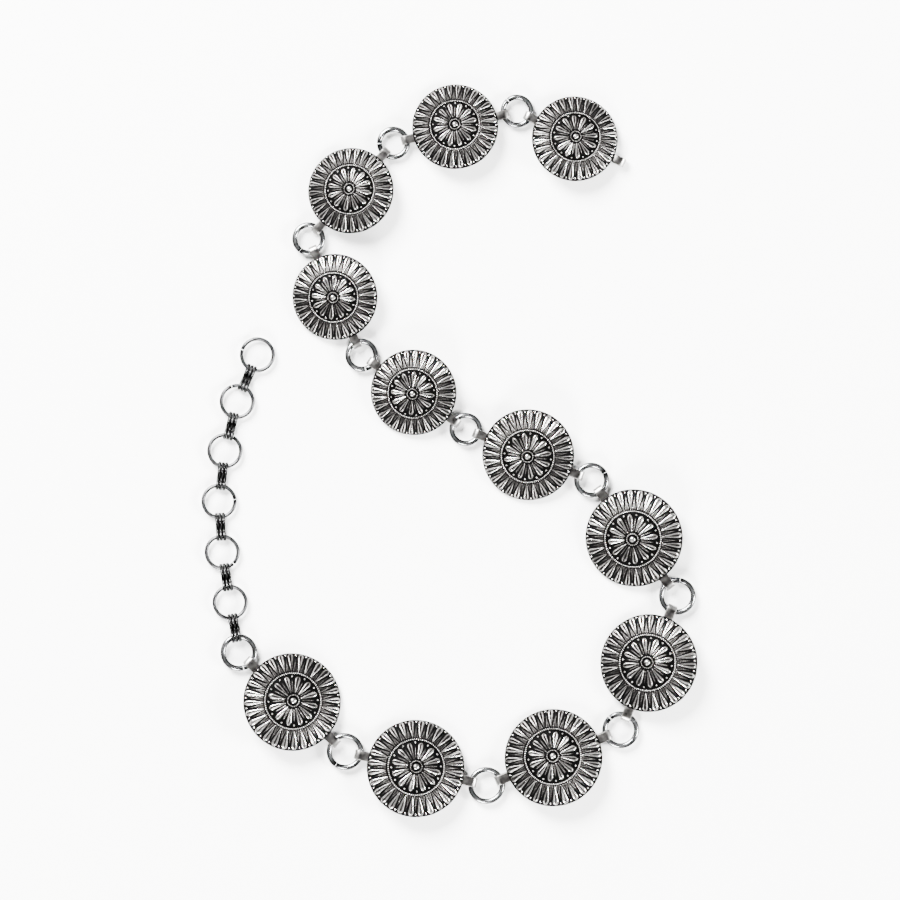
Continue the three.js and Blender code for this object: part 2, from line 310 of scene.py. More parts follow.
def plated(name, stops, polish, grain_mm, grain_depth_mm):
    """Plated metal. Colour follows relief and cloudy handling marks, and fine grain blurs the gloss."""
    material, tree, shader = new_metal(name)
    place = add_node(tree, "ShaderNodeTexCoord").outputs["Object"]
    relief = add_node(tree, "ShaderNodeAttribute", {"attribute_name": "relief"}).outputs["Fac"]
    cloud = add_node(tree, "ShaderNodeTexNoise", Vector=place, Detail=4.0,
                     Scale=1 / (CLOUD_MM * MM)).outputs["Fac"]
    grain = add_node(tree, "ShaderNodeTexNoise", Vector=place, Detail=3.0,
                     Scale=1 / (grain_mm * MM)).outputs["Fac"]
    marks = add_node(tree, "ShaderNodeMath", MULTIPLY_ADD, _0=cloud, _1=CLOUD_STRENGTH,
                     _2=-CLOUD_STRENGTH / 2).outputs[0]
    # Relief holds the rubbing, and on straps and rings also painted shade, painted highlights and a painted
    # dark reflection
    worn_and_painted_light = add_node(tree, "ShaderNodeMath", ADD, _0=relief, _1=marks).outputs[0]
    colour = add_node(tree, "ShaderNodeValToRGB", {"stops": stops}, Fac=worn_and_painted_light)
    gloss = add_node(tree, "ShaderNodeMapRange", Value=cloud, From_Min=0.3, From_Max=0.7,
                     To_Min=polish[0], To_Max=polish[1])
    bump = add_node(tree, "ShaderNodeBump", Height=grain, Strength=0.5, Distance=grain_depth_mm * MM)
    tree.links.new(colour.outputs["Color"], shader.inputs["Base Color"])
    tree.links.new(gloss.outputs[0], shader.inputs["Roughness"])
    tree.links.new(bump.outputs["Normal"], shader.inputs["Normal"])
    return material


# The real grain of all four is finer than a pixel, so it is drawn as coarse as it needs to show.
# Plated as cast: a soft grey sheen without sharp reflections
satin = plated("satin plated strap", [(0.1, "#242322"), (0.5, "#7a7876"), (1.0, "#bcbbb9")],
               polish=(0.26, 0.40), grain_mm=0.4, grain_depth_mm=0.04)
# Polished: clear light and dark streaks along the wire
bright = plated("polished steel wire", [(0.1, "#050505"), (0.45, "#303132"), (1.0, "#a4a5a6")],
                polish=(0.14, 0.28), grain_mm=0.5, grain_depth_mm=0.012)
# Left as drawn: the same streaks, greyer and softer
drawn = plated("drawn plated wire", [(0.1, "#040404"), (0.45, "#1d1d1e"), (1.0, "#686869")],
               polish=(0.26, 0.38), grain_mm=0.4, grain_depth_mm=0.02)
# Dipped black: dark all over, with light only along the crests
dark_wire = plated("oxidised plated wire", [(0.1, "#040404"), (0.45, "#191919"), (0.9, "#6c6c6c")],
                   polish=(0.24, 0.34), grain_mm=0.4, grain_depth_mm=0.02)
print("materials:", satin.name, bright.name, drawn.name, dark_wire.name)

# %% [markdown]
# ## The relief of a concho
# Everything on the face repeats round the middle: 12 inner petals, 28 outer ones, a rope band, a
# beaded collar. It could be sculpted, but a rule is exact and small. So the height of the face is
# a formula of distance from the middle and angle, in millimetres of the largest concho, and the
# mesh is a round net that follows it. A petal is a raised drop with its point inwards and a long
# hollow in it, so that its border shines. No petal of a hand-made mould is quite like the next, so
# each strays a little in width, place and shine. All castings come from one mould and stray alike.

# %% Soft steps and the two rings of petals
MOULD_SEED = 4
# At most this share of a petal's width, this share of the spacing, and this much relief
STRAY = {"width": 0.08, "place": 0.03, "shine": 0.10}


def smooth(low, high, x):
    """A soft step from 0 at low to 1 at high."""
    s = np.clip((x - low) / (high - low), 0, 1)
    return s * s * (3 - 2 * s)


def hump(x, middle, half):
    """A soft hill that is 1 at its middle."""
    return np.exp(-((x - middle) / half) ** 2)


def strays(count):
    """How far each petal strays from the plain one, from -1 to 1: in width, place and shine."""
    return np.random.default_rng(MOULD_SEED).uniform(-1, 1, (3, count))


# A petal starts and ends at these radii. Its half width is given at its point and at its widest,
# which is a share of the way along. The wedge beside it leaves a groove and narrows to its tip.
OUTER = {"count": OUTER_PETALS, "turn": math.pi / OUTER_PETALS, "strays": strays(OUTER_PETALS),
         "start": 15.75, "end": 25.45, "point": 0.20, "half": 1.68, "widest": 0.82, "tall": 1.0,
         "wedge": {"groove": 0.40, "base": 15.7, "tip": 23.4}}
INNER = {"count": INNER_PETALS, "turn": 0.0, "strays": strays(INNER_PETALS),
         "start": 4.3, "end": 13.2, "point": 0.26, "half": 1.50, "widest": 0.78, "tall": 0.95,
         "wedge": {"groove": 0.38, "base": 4.5, "tip": 12.2}}
HOLLOW_SHARE = 0.34
print("petals:", OUTER["count"], "outer and", INNER["count"], "inner")

# %% Formula for a ring of petals
def petals(r, angle, p):
    """Lift and relief of a ring of petals, and the half width of the gap and the distance into it."""
    spacing = 2 * math.pi / p["count"]
    off = (angle - p["turn"] + spacing / 2) % spacing - spacing / 2
    number = np.floor((angle - p["turn"]) / spacing + 0.5).astype(int) % p["count"]
    wider, aside, brighter = p["strays"][:, number]
    half = p["half"] * (1 + STRAY["width"] * wider)
    aside = aside * STRAY["place"] * spacing
    along = np.clip((r - p["start"]) / (p["end"] - p["start"]), 0, 1)
    growing = p["point"] + (half - p["point"]) * (np.minimum(along, p["widest"]) / p["widest"]) ** 0.85
    closing = np.sqrt(np.clip(1 - ((along - p["widest"]) / (1 - p["widest"])) ** 2, 0, 1))
    wide = np.where(along < p["widest"], growing, half * closing) + 1e-6
    v = np.abs(off - aside) * r / wide
    inside = (v < 1) & (along > 0) & (along < 1)
    side = np.sqrt(np.clip(1 - v ** 2.4, 0, 1))
    hollow = hump(v, 0, HOLLOW_SHARE) * smooth(0.25, 0.50, along) * (1 - smooth(0.84, 0.94, along))
    share = 0.35 + 0.65 * wide / half
    lift = np.where(inside, p["tall"] * share * side * (1 - 0.60 * hollow), 0)
    tone = np.where(inside, (0.52 + 0.44 * hump(v, 0.60, 0.26)) * smooth(0.1, 0.6, side) - 0.24 * hollow, 0)
    tone = tone + inside * STRAY["shine"] * brighter
    gap = (spacing / 2 - np.sign(off) * aside) * r - wide
    return lift, tone, inside, gap, (spacing / 2 - np.abs(off)) * r


lift = petals(np.full(1000, 22.0), np.linspace(0, 2 * math.pi, 1000), OUTER)[0]
print("an outer petal stands", round(lift.max(), 2), "mm high")

# %% [markdown]
# Between two petals the ground is black. A low wedge lies on it, stippled with dots, and leaves a
# groove on each side. The grooves of the outer wedges meet before the rim and part again round a
# bead, like a Y. A rope band lies between the two rings of petals, and a collar round the knob.
# The dots could be beads too, but thousands of them would make the mesh heavy, so they are part of
# the formula. Each casting also carries a painted light: it is painted lighter on its left than on its right.

# %% Formula for the stippled wedges
DOT_PITCH = 0.87
DOT_SIZE, DOT_INSET = 0.22, 0.30
WEDGE_EDGE = 0.22


def wedge(r, gap, into, groove, base, tip):
    """Lift and relief of a stippled wedge that narrows from base to tip between two petals."""
    half = (gap - groove) * np.clip(1 - np.clip((r - base) / (tip - base), 0, 1) ** 1.6, 0, 1)
    on = smooth(0.0, WEDGE_EDGE, half - into) * (r > base) * (r < tip)
    row = np.maximum(half - DOT_INSET, 0)
    dots = hump(into, row, DOT_SIZE) * (0.5 + 0.5 * np.cos(2 * math.pi * r / DOT_PITCH))
    return on * (0.24 + 0.22 * dots), on * (0.38 + 0.48 * dots)


for p in (OUTER, INNER):
    print("dots along a wedge:", int((p["wedge"]["tip"] - p["wedge"]["base"]) / DOT_PITCH))

# %% Formula for the whole face
BAND_RADIUS, COLLAR_RADIUS, KNOB_RADIUS = 14.8, 3.05, 1.75
KNOB_LIFT = 1.22
# The ground's low relief is the black patina between petals; the rim's is a painted dark reflection
GROUND_TONE, PAINTED_RIM_TONE = 0.03, 0.26
RIM_FROM, RIM_FLAT = 25.42, 25.55
# Painted light: a casting is painted up to this much lighter toward this angle from its heading, and darker
# on the far side
PAINTED_SIDE_LIGHT, PAINTED_LIGHT_TOWARD = 0.12, math.radians(128)


def face(r, angle):
    """Lift in mm above the plain dome, and relief from 0 to 1, at radius r in mm."""
    lift = np.zeros_like(r + angle)
    tone = np.full_like(lift, GROUND_TONE)
    for p in (OUTER, INNER):
        height, shade, inside, gap, into = petals(r, angle, p)
        low, speckled = wedge(r, gap, into, **p["wedge"])
        there = (r > p["wedge"]["base"] - 0.3) & (r < p["end"] + 0.1)
        lift = np.where(there, np.where(inside, height, low), lift)
        tone = np.where(there, np.where(inside, shade, np.maximum(speckled, GROUND_TONE)), tone)
    band = hump(r, BAND_RADIUS, 0.36)
    collar = hump(r, COLLAR_RADIUS, 0.38)
    lift = np.maximum(lift, np.maximum(0.42 * band, 0.35 * collar))
    tone = np.maximum(tone, np.maximum(0.66 * band, 0.50 * collar))
    lift = lift - 0.25 * (hump(r, 14.05, 0.25) + hump(r, 15.5, 0.2) + hump(r, 2.2, 0.35))
    in_knob = r < KNOB_RADIUS
    ball = np.sqrt(np.clip(1 - (r / KNOB_RADIUS) ** 2, 0, 1))
    lift = np.where(in_knob, KNOB_LIFT * ball, lift)
    tone = np.where(in_knob, 0.22 + 0.66 * smooth(0.2, 0.8, ball), tone)
    rim = smooth(RIM_FROM, RIM_FLAT, r)
    # The painted side light, which turns with the casting
    painted_side_light = PAINTED_SIDE_LIGHT * np.cos(angle - PAINTED_LIGHT_TOWARD) * (tone > 0.1) * (1 - rim)
    return lift * (1 - rim), np.clip(tone * (1 - rim) + PAINTED_RIM_TONE * rim + painted_side_light, 0, 1)


print("relief of the ground and the rim:", GROUND_TONE, PAINTED_RIM_TONE)

# %% [markdown]
# A square grid would cut the petals in steps, so the net is round. It is finest where the relief
# is: 18 columns to an outer petal, half as many round the inner petals, and fewer towards the knob
# and on the hollow back. Three rows go to a dot, so that none is lost between rows. The net closes
# on one point at the top and one below, so the disc is a solid with a wall, as the casting is.

# %% Rows of the net
DOME_LOW, DOME_RISE, WALL = 1.2, 6.6, 1.6
MODEL_RADIUS = 26.0
OUTER_COLUMNS = 18 * OUTER_PETALS
COLUMNS = {"outer": OUTER_COLUMNS, "inner": OUTER_COLUMNS // 2,
           "near": OUTER_COLUMNS // 4, "coarse": OUTER_COLUMNS // 8}
ROW_STEP = DOT_PITCH / 3


def net_rows():
    """Radius in mm and number of columns of each row on the face, from the middle to the rim."""
    knob = [0.4, 0.8, 1.1, 1.35, 1.55, 1.68, 1.74, 1.8, 2.0, 2.2, 2.45, 2.7, 2.95, 3.2, 3.5]
    near = np.arange(3.8, 6.4, ROW_STEP)
    inner = np.arange(6.5, 13.8, ROW_STEP)
    band = [13.95, 14.2, 14.45, 14.7, 14.95, 15.2, 15.42, 15.62]
    outer = np.arange(15.8, 25.0, ROW_STEP)
    rim = [25.12, 25.28, 25.42, 25.54, 25.72]
    rows = (("coarse", knob), ("near", near), ("inner", inner), ("outer", band),
            ("outer", outer), ("outer", rim))
    return [(r, COLUMNS[name]) for name, radii in rows for r in radii]


def dome(r, scale):
    """Height in mm of the plain dome."""
    return (DOME_LOW + DOME_RISE * (1 - (r / MODEL_RADIUS) ** 2)) * scale


def circle(r, height, columns):
    angle = np.arange(columns) * 2 * math.pi / columns
    return np.stack([r * np.cos(angle), r * np.sin(angle), np.full(columns, height)], 1)


print("rows on the face:", len(net_rows()))

# %% One disc
EDGE = 25.88
# Radius, height and relief of the rows round the rim's edge, whose low relief is a painted dark reflection
EDGE_ROWS = [(EDGE, DOME_LOW - 0.22, 0.30), (EDGE, 0.20, 0.25), (EDGE - 0.25, 0.0, 0.3)]
LEDGE, LEDGE_HEIGHT = MODEL_RADIUS - 2.6, 0.02
BACK_RADII = (LEDGE - 1.2, 19, 16, 13, 10, 7, 4, 1.5)
BACK_TONE = 0.42


def disc(scale):
    """Rows of corners and relief of one cast disc, lying level at the origin with its rim at height 0."""
    rows = [(np.array([[0, 0, dome(0, scale) + KNOB_LIFT * scale]]), np.array([1.0]))]
    for r, columns in net_rows():
        lift, tone = face(np.full(columns, r), np.arange(columns) * 2 * math.pi / columns)
        ring = circle(r * scale, dome(r, scale), columns)
        ring[:, 2] += lift * scale
        rows.append((ring, tone))
    for r, height, tone in EDGE_ROWS:
        rows.append((circle(r * scale, height * scale, COLUMNS["outer"]), np.full(COLUMNS["outer"], tone)))
    back = [(LEDGE, LEDGE_HEIGHT)] + [(r, dome(r, scale) - WALL) for r in BACK_RADII]
    for r, height in back:
        rows.append((circle(r * scale, height, COLUMNS["coarse"]), np.full(COLUMNS["coarse"], BACK_TONE)))
    rows.append((np.array([[0, 0, dome(0, scale) - WALL]]), np.array([BACK_TONE])))
    return rows


first = disc(1.0)
print("one disc:", sum(len(r[0]) for r in first), "corners in", len(first), "rows")

# %% Sew the rows together
def sewn(rows):
    """Faces between rows whose counts are equal, or one a multiple of the other, or one point."""
    faces, start = [], 0
    for (here, _), (after, _) in zip(rows, rows[1:]):
        n, m = len(here), len(after)
        a, b = start, start + n
        if n == m:
            faces += [(a + i, b + i, b + (i + 1) % m, a + (i + 1) % n) for i in range(n)]
        elif n < m:
            k = m // n
            for i in range(n):
                corner = [b + (i * k + j) % m for j in range(k + 1)]
                faces += [(a + i, corner[j], corner[j + 1]) for j in range(k)]
                if n > 1:
                    faces.append((a + i, corner[k], a + (i + 1) % n))
        else:
            k = n // m
            for i in range(m):
                corner = [a + (i * k + j) % n for j in range(k + 1)]
                faces += [(corner[j], b + i, corner[j + 1]) for j in range(k)]
                if m > 1:
                    faces.append((corner[k], b + i, b + (i + 1) % m))
        start += n
    return faces


print("one disc:", len(sewn(first)), "faces")

# %% [markdown]
# ## Straps
# Each strap is part of the casting: a flat band that leaves the back of the disc at the rim, goes
# over the ring's wire, turns down inside the ring and comes back underneath. A curve with a bevel
# could draw it too, but a sweep in code keeps the corners in order, so that each gets its relief.
# Swept along that closed path, a rounded rectangle gives the band its soft edges. On the first
# concho one strap stays open, as the hook.

# %% Sweep a rounded section
def rounded_section(width, thickness, corner, steps=3):
    points = []
    for quarter, (sx, sy) in enumerate(((1, 1), (-1, 1), (-1, -1), (1, -1))):
        for k in range(steps + 1):
            a = math.pi / 2 * (quarter + k / steps)
            points.append((sx * (width / 2 - corner) + corner * math.cos(a),
                           sy * (thickness / 2 - corner) + corner * math.sin(a)))
    return np.array(points)


def sweep(path, section, closed):
    """A tube of this section along a path of (x, z) points. Ends are closed with a face."""
    path = np.array(path)
    step = np.roll(path, -1, 0) - path
    step /= np.linalg.norm(step, axis=1)[:, None] + 1e-12
    tangent = step + np.roll(step, 1, 0)
    if not closed:
        tangent[0], tangent[-1] = step[0], step[-2]
    tangent /= np.linalg.norm(tangent, axis=1)[:, None]
    out = np.stack([tangent[:, 1], -tangent[:, 0]], 1)
    n = len(section)
    points = [(x + o[0] * h, w, z + o[1] * h) for (x, z), o in zip(path, out) for w, h in section]
    rows = len(path) if closed else len(path) - 1
    faces = []
    for i in range(rows):
        a, b = i * n, (i + 1) % len(path) * n
        faces += [(a + j, b + j, b + (j + 1) % n, a + (j + 1) % n) for j in range(n)]
    if not closed:
        faces += [tuple(range(n)), tuple(reversed(range(len(points) - n, len(points))))]
    return np.array(points), faces


STRAP_THICKNESS, STRAP_WIDTH, STRAP_CORNER = 1.1, 5.1, 0.38
print("strap section:", len(rounded_section(STRAP_WIDTH, STRAP_THICKNESS, STRAP_CORNER)), "corners")

# %% One strap
STRAP_INSET = 2.6
HOOK_GAP = 0.6
TURN_STEPS = 14


def half_turn(x, z, radius, sign):
    a = -math.pi / 2 + np.linspace(0, 1, TURN_STEPS) * math.pi
    return [(x + sign * radius * math.cos(t), z + radius * math.sin(t)) for t in a]


def strap_tone_with_painted_light(past_rim, past_wire):
    """Painted shade where the strap leaves the rim, with a painted dark reflection and a painted highlight
    across its bend.
    """
    shaded_near_rim = 0.28 + 0.27 * smooth(0.0, 2.2, past_rim)
    return shaded_near_rim + 0.26 * hump(past_wire, 0.50, 0.18) - 0.35 * hump(past_wire, 0.05, 0.16)


def strap(c, tip, side, hooked):
    """Corners, faces and relief of one strap, along x. Its tip is that far from the knob, in metres."""
    scale = c["radius"] / LARGEST
    middle = c["strap_top"] / MM / 2
    radius = middle - STRAP_THICKNESS / 2
    wire = tip / MM - middle
    flat = c["radius"] / MM * math.cos(math.pi / OUTER_PETALS)
    root = flat - STRAP_INSET
    front = half_turn(wire, middle, radius, 1)
    if hooked:
        path = [(flat + HOOK_GAP, middle - radius)] + front + [(root, middle + radius)]
    else:
        path = front + half_turn(root + middle, middle, radius, -1)[::-1]
    section = rounded_section(STRAP_WIDTH * scale, STRAP_THICKNESS, STRAP_CORNER)
    points, faces = sweep(path, section, not hooked)
    points[:, :2] *= side
    from_knob = np.abs(points[:, 0])
    return points, faces, strap_tone_with_painted_light(from_knob - flat, (from_knob - wire) / middle)


print("one strap:", len(strap(conchos[0], conchos[0]["ahead"], 1, False)[1]), "faces")

# %% [markdown]
# ## Beads
# Four rings of small beads stand on each face: one at the rim between the outer petals, one
# between the inner petals, the collar round the knob, and the slanting beads that make the rope
# of the band. Copying each by hand would be slow, and they repeat, so one small Geometry Nodes
# tree makes any of them: a circle of points and a bead on each, leaned with the disc. The beads
# are made real and get their finish, and then they join the casting that the tree was given.

# %% A tree with named inputs
def new_tree(name, inputs):
    """A Geometry Nodes tree, and the sockets inside it that give its named inputs."""
    tree = bpy.data.node_groups.new(name, "GeometryNodeTree")
    tree.interface.new_socket("Geometry", in_out="OUTPUT", socket_type="NodeSocketGeometry")
    for kind, names in inputs.items():
        for socket_name in names:
            tree.interface.new_socket(socket_name, in_out="INPUT", socket_type="NodeSocket" + kind)
    return tree, add_node(tree, "NodeGroupInput").outputs


def set_inputs(modifier, values):
    """Sets a modifier's inputs by their sockets' identifiers, found by name."""
    for item in modifier.node_group.interface.items_tree:
        if item.item_type == "SOCKET" and item.in_out == "INPUT" and item.name in values:
            modifier[item.identifier] = values[item.name]


def made_real(holder, name):
    """The evaluated result as a plain mesh; the holder and its modifiers are removed."""
    graph = bpy.context.evaluated_depsgraph_get()
    mesh = bpy.data.meshes.new_from_object(holder.evaluated_get(graph))
    mesh.name = name
    bpy.data.objects.remove(holder)
    return mesh


def new_holder(mesh):
    """An object that holds a tree's modifiers until the result is made real."""
    holder = bpy.data.objects.new("holder", mesh)
    bpy.context.scene.collection.objects.link(holder)
    return holder


print("trees so far:", len(bpy.data.node_groups))

# %% A tree that adds a ring of beads
def bead_tree():
    tree, given = new_tree("ring of beads", {
        "Geometry": ["Geometry"], "Int": ["Count", "Detail"], "Vector": ["Bead"], "Material": ["Finish"],
        "Float": ["Ring Radius", "Height", "Turn", "Slant", "Lean", "Rim", "Relief"]})
    circle = add_node(tree, "GeometryNodeMeshCircle", Vertices=given["Count"], Radius=given["Ring Radius"])
    shift = add_node(tree, "ShaderNodeCombineXYZ", Z=given["Height"])
    turn = add_node(tree, "ShaderNodeCombineXYZ", Z=given["Turn"])
    placed = add_node(tree, "GeometryNodeTransform", Geometry=circle.outputs[0],
                      Translation=shift.outputs[0], Rotation=turn.outputs[0])
    ball = add_node(tree, "GeometryNodeMeshIcoSphere", Radius=1.0, Subdivisions=given["Detail"])
    smooth_ball = add_node(tree, "GeometryNodeSetShadeSmooth", Geometry=ball.outputs["Mesh"])
    bead = add_node(tree, "GeometryNodeStoreNamedAttribute", {"data_type": "FLOAT", "domain": "POINT"},
                    Geometry=smooth_ball.outputs[0], Name="relief", Value=given["Relief"])
    index = add_node(tree, "GeometryNodeInputIndex")
    share = add_node(tree, "ShaderNodeMath", DIVIDE, _0=index.outputs[0], _1=given["Count"])
    slanted = add_node(tree, "ShaderNodeMath", MULTIPLY_ADD, _0=share.outputs[0], _1=2 * math.pi,
                       _2=given["Slant"])
    angle = add_node(tree, "ShaderNodeMath", ADD, _0=slanted.outputs[0], _1=given["Turn"])
    spin = add_node(tree, "ShaderNodeCombineXYZ", Z=angle.outputs[0])
    ring = add_node(tree, "GeometryNodeInstanceOnPoints", Points=placed.outputs[0],
                    Instance=bead.outputs[0], Rotation=spin.outputs[0], Scale=given["Bead"])
    tilt = add_node(tree, "ShaderNodeCombineXYZ", X=given["Lean"])
    raised = add_node(tree, "ShaderNodeCombineXYZ", Z=given["Rim"])
    leaned = add_node(tree, "GeometryNodeTransform", Geometry=ring.outputs[0],
                      Translation=raised.outputs[0], Rotation=tilt.outputs[0])
    real = add_node(tree, "GeometryNodeRealizeInstances", Geometry=leaned.outputs[0])
    finished = add_node(tree, "GeometryNodeSetMaterial", Geometry=real.outputs[0], Material=given["Finish"])
    both = add_node(tree, "GeometryNodeJoinGeometry")
    tree.links.new(finished.outputs[0], both.inputs[0])
    tree.links.new(given["Geometry"], both.inputs[0])
    add_node(tree, "NodeGroupOutput", Geometry=both.outputs[0])
    return tree


beads = bead_tree()
print("tree:", beads.name, len(beads.nodes), "nodes")

# %% [markdown]
# ## Assemble the conchos
# Each concho is one piece: disc, two straps and beads. They could be three objects parented to one
# another, but a casting is one body, so it is one mesh. The disc is leaned on its straps, which
# stay level, and the whole is built at the origin. Then its mesh is turned and moved to where the
# solid lies, so that the object itself stays unturned.

# %% Meshes and pieces
def new_mesh(name, parts, materials):
    """A smooth mesh in metres from (points in mm, faces, relief, material number) parts."""
    points, faces, relief, slots, start = [], [], [], [], 0
    for part_points, part_faces, part_relief, material in parts:
        points.append(part_points)
        relief.append(part_relief)
        faces += [tuple(start + i for i in f) for f in part_faces]
        slots += [material] * len(part_faces)
        start += len(part_points)
    mesh = bpy.data.meshes.new(name)
    mesh.from_pydata((np.concatenate(points) * MM).tolist(), [], faces)
    mesh.polygons.foreach_set("use_smooth", [True] * len(mesh.polygons))
    store_relief(mesh, np.concatenate(relief))
    for material in materials:
        mesh.materials.append(material)
    mesh.polygons.foreach_set("material_index", slots)
    return mesh


def store_relief(mesh, values):
    mesh.attributes.new("relief", "FLOAT", "POINT").data.foreach_set("value", values.astype(float))


def piece(name, mesh, node, turn, place):
    """A finished piece: its mesh is put in its place, and it stands for a solid."""
    mesh.transform(Matrix.Translation(place) @ Matrix.Rotation(turn, 4, "Z"))
    mesh.update()
    made = bpy.data.objects.new(name, mesh)
    bpy.context.scene.collection.objects.link(made)
    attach(made, "root")
    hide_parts(node)
    return made


def triangles(pieces):
    return sum(len(f.vertices) - 2 for made in pieces for f in made.data.polygons)


print("pieces to replace:", len(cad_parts))

# %% Build and place the conchos
RINGS_OF_BEADS = [
    # count, radius, lift of the middle, half sizes, turn, slant, detail, relief
    (OUTER_PETALS, 24.60, 0.34, (0.60, 0.46, 0.42), 0.0, 0.0, 2, 0.90),
    (INNER_PETALS, 13.05, 0.26, (0.50, 0.50, 0.46), math.pi / INNER_PETALS, 0.0, 2, 0.80),
    (20, COLLAR_RADIUS, 0.30, (0.34, 0.36, 0.32), 0.0, 0.0, 2, 0.74),
    (88, BAND_RADIUS, 0.34, (0.52, 0.36, 0.36), 0.0, 0.5, 1, 0.84),
]


def build_concho(c, hooked):
    scale = c["radius"] / LARGEST
    rows = disc(scale)
    tilt = np.array(Matrix.Rotation(c["lean"], 3, "X"))
    points = np.concatenate([r[0] for r in rows]) @ tilt.T + (0, 0, c["rim"] / MM)
    parts = [(points, sewn(rows), np.concatenate([r[1] for r in rows]), 0)]
    for tip, side, open_strap in ((c["ahead"], 1, False), (c["behind"], -1, hooked)):
        parts.append((*strap(c, tip, side, open_strap), 1))
    name = c["node"] + "_casting"
    holder = new_holder(new_mesh(name, parts, [silver, satin]))
    for count, r, lift, half, turn, slant, detail, relief in RINGS_OF_BEADS:
        added = holder.modifiers.new("beads", "NODES")
        added.node_group = beads
        set_inputs(added, {"Count": count, "Detail": detail, "Bead": [h * scale * MM for h in half],
                           "Ring Radius": r * scale * MM, "Height": (dome(r, scale) + lift * scale) * MM,
                           "Turn": turn, "Slant": slant, "Lean": c["lean"], "Rim": c["rim"],
                           "Relief": relief, "Finish": silver})
    mesh = made_real(holder, name)
    return piece(name, mesh, c["node"], c["heading"], (*c["middle"], 0))


castings = [build_concho(c, k == 0) for k, c in enumerate(conchos)]
print("conchos:", len(castings), "pieces,", triangles(castings), "triangles")

# %% [markdown]
# ## Rings
# A jump ring is a turn of wire, cut and closed again, and the cut shows as a fine line. A torus
# would have no cut. So a Geometry Nodes tree draws the arc, leaves out the width of the cut, and
# gives it thickness. The wire darkens towards the cut, where polish never reached. Its upper and
# lower side are left light, and its flanks carry a painted dark reflection.

# %% A tree for a cut ring
RING_STEPS, WIRE_STEPS = 96, 18
CUT_MM = 0.3


def ring_tree():
    tree, given = new_tree("cut ring", {"Float": ["Radius", "Wire", "Cut", "Cut At"], "Material": ["Finish"]})
    missing = add_node(tree, "ShaderNodeMath", DIVIDE, _0=given["Cut"], _1=given["Radius"])
    whole = add_node(tree, "ShaderNodeMath", SUBTRACT, _0=2 * math.pi, _1=missing.outputs[0])
    arc = add_node(tree, "GeometryNodeCurveArc", Resolution=RING_STEPS, Radius=given["Radius"],
                   Start_Angle=given["Cut At"], Sweep_Angle=whole.outputs[0])
    along = add_node(tree, "GeometryNodeSplineParameter").outputs["Factor"]
    centred = add_node(tree, "ShaderNodeMath", SUBTRACT, _0=along, _1=0.5)
    from_middle = add_node(tree, "ShaderNodeMath", ABSOLUTE, _0=centred.outputs[0])
    polish = add_node(tree, "ShaderNodeMapRange", Value=from_middle.outputs[0], From_Min=0.44,
                      From_Max=0.5, To_Min=0.8, To_Max=0.25)
    toned = add_node(tree, "GeometryNodeStoreNamedAttribute", {"data_type": "FLOAT", "domain": "POINT"},
                     Geometry=arc.outputs["Curve"], Name="relief", Value=polish.outputs[0])
    profile = add_node(tree, "GeometryNodeCurvePrimitiveCircle", Resolution=WIRE_STEPS, Radius=given["Wire"])
    tube = add_node(tree, "GeometryNodeCurveToMesh", Curve=toned.outputs[0],
                    Profile_Curve=profile.outputs["Curve"], Fill_Caps=True)
    smooth_tube = add_node(tree, "GeometryNodeSetShadeSmooth", Geometry=tube.outputs[0])
    real = add_node(tree, "GeometryNodeRealizeInstances", Geometry=smooth_tube.outputs[0])
    finished = add_node(tree, "GeometryNodeSetMaterial", Geometry=real.outputs[0], Material=given["Finish"])
    add_node(tree, "NodeGroupOutput", Geometry=finished.outputs[0])
    return tree


cut_ring = ring_tree()
print("tree:", cut_ring.name, len(cut_ring.nodes), "nodes")

# %% Build and place the rings
# A ring's polish sets how much lighter the upper and lower side of its wire are painted than its flanks,
# which carry a painted dark reflection
RINGS = {"joining_ring": {"wire": 2.8, "cut_at": 2.3, "finish": bright, "polish": 0.95},
         "extender_ring": {"wire": 1.9, "cut_at": 1.0, "finish": drawn, "polish": 0.90}}
NEXT_CUT = 0.9
SOLID_RING_SIDES = 14
PAINTED_FLANK_TONE = 0.08
FLANK_TO, CREST_FROM = 0.50, 0.97


def measure_ring(node):
    """Middle, radius to the middle of the wire, and wire thickness of a ring, in metres."""
    points = corners_of(node)
    middle = points.mean(0)
    wire = RINGS[node.rsplit("_", 1)[0]]["wire"] * MM
    reach = np.hypot(*(points - middle)[:, :2].T).max()
    return middle, (reach - wire / 2) * math.cos(math.pi / SOLID_RING_SIDES), wire


def paint_dark_flank_reflection(mesh, wire, polish):
    """Keeps the relief of the upper and lower side of the wire, and lowers that of its flanks, as a painted
    dark reflection.
    """
    values = mesh.attributes["relief"].data
    tone = np.zeros(len(mesh.vertices))
    values.foreach_get("value", tone)
    up = np.abs(points_of(mesh)[:, 2]) / (wire / 2)
    values.foreach_set("value", tone * (PAINTED_FLANK_TONE + polish * smooth(FLANK_TO, CREST_FROM, up)))


def build_ring(node, k):
    kind = RINGS[node.rsplit("_", 1)[0]]
    low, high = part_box(node)
    middle, radius, wire = measure_ring(node)
    holder = new_holder(bpy.data.meshes.new("holder"))
    added = holder.modifiers.new("ring", "NODES")
    added.node_group = cut_ring
    set_inputs(added, {"Radius": radius, "Wire": wire / 2, "Cut": CUT_MM * MM,
                       "Cut At": kind["cut_at"] + NEXT_CUT * k, "Finish": kind["finish"]})
    mesh = made_real(holder, node + "_wire")
    paint_dark_flank_reflection(mesh, wire, kind["polish"])
    return piece(node + "_wire", mesh, node, 0.0, (*middle[:2], (low.z + high.z) / 2))


rings = [build_ring(node, k) for k, node in enumerate(numbered("joining_ring") + numbered("extender_ring"))]
print("rings:", len(rings), "pieces,", triangles(rings), "triangles")

